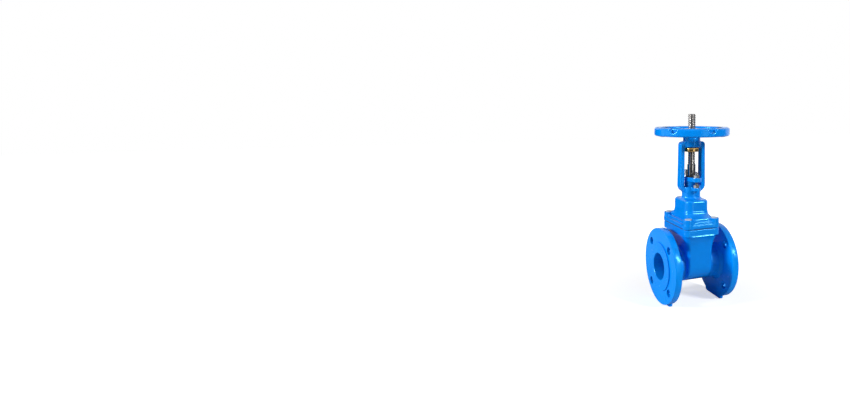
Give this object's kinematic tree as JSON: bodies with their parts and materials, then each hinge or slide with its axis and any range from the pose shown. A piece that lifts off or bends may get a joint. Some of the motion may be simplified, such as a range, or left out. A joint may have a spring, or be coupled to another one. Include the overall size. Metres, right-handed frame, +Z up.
{
  "type": "rising stem gate valve",
  "caption": "Flanged gate valve with an outside screw and yoke: turning the handwheel raises the threaded stem and its wedge out of the water way",
  "frame": {"origin": "middle of the valve's footprint, on the ground under its two feet; the pipe's axis runs 92.5 mm above it", "axes": "+X along the pipe out of the right flange, +Y away from the viewer across the pipe, +Z up along the stem"},
  "size_m": [0.178, 0.185, 0.4547],
  "materials": {
    "blue_coating": "glossy epoxy powder coating on ductile iron",
    "black_seal": "matt black elastomer or bearing plastic",
    "grey_seal": "pale grey sealing wax or cap over a sunk bolt head",
    "zinc_steel": "zinc plated steel",
    "stem_nut_brass": "turned brass",
    "stem_steel": "turned and rolled stainless steel",
    "wedge_rubber": "ductile iron wedge under a layer of black rubber"
  },
  "bodies": {
    "casing": {"body": "blue_coating", "left_flange": "blue_coating", "right_flange": "blue_coating", "bonnet": "blue_coating", "bonnet_gasket": "black_seal", "bonnet_bolt_1": "zinc_steel", "bonnet_bolt_2": "zinc_steel", "bonnet_bolt_3": "zinc_steel", "bonnet_bolt_4": "zinc_steel", "bolt_seal_1": "grey_seal", "bolt_seal_2": "grey_seal", "bolt_seal_3": "grey_seal", "bolt_seal_4": "grey_seal", "gland_flange": "blue_coating", "stem_wiper": "black_seal", "gland_stud_front": "zinc_steel", "gland_stud_rear": "zinc_steel", "gland_nut_front": "zinc_steel", "gland_nut_rear": "zinc_steel", "lock_nut_front": "zinc_steel", "lock_nut_rear": "zinc_steel", "thrust_washer": "black_seal"},
    "wheel_set": {"stem_nut": "stem_nut_brass", "handwheel": "blue_coating", "wheel_washer": "zinc_steel", "wheel_nut": "zinc_steel"},
    "stem_set": {"stem": "stem_steel", "wedge": "wedge_rubber"}
  },
  "joints": [
    {"name": "handwheel_turn", "type": "hinge", "parent": "casing", "child": "wheel_set", "pos_m": [0, 0, 0.413], "axis": [0, 0, 1], "range_deg": [-3420, 2430]},
    {"name": "stem_rise", "type": "slide", "parent": "casing", "child": "stem_set", "axis": [0, 0, 1], "range_m": [-0.038, 0.027]}
  ],
  "couplings": [
    {"joint": "stem_rise", "follows": "handwheel_turn", "m_per_rad": 0.00063661}
  ]
}
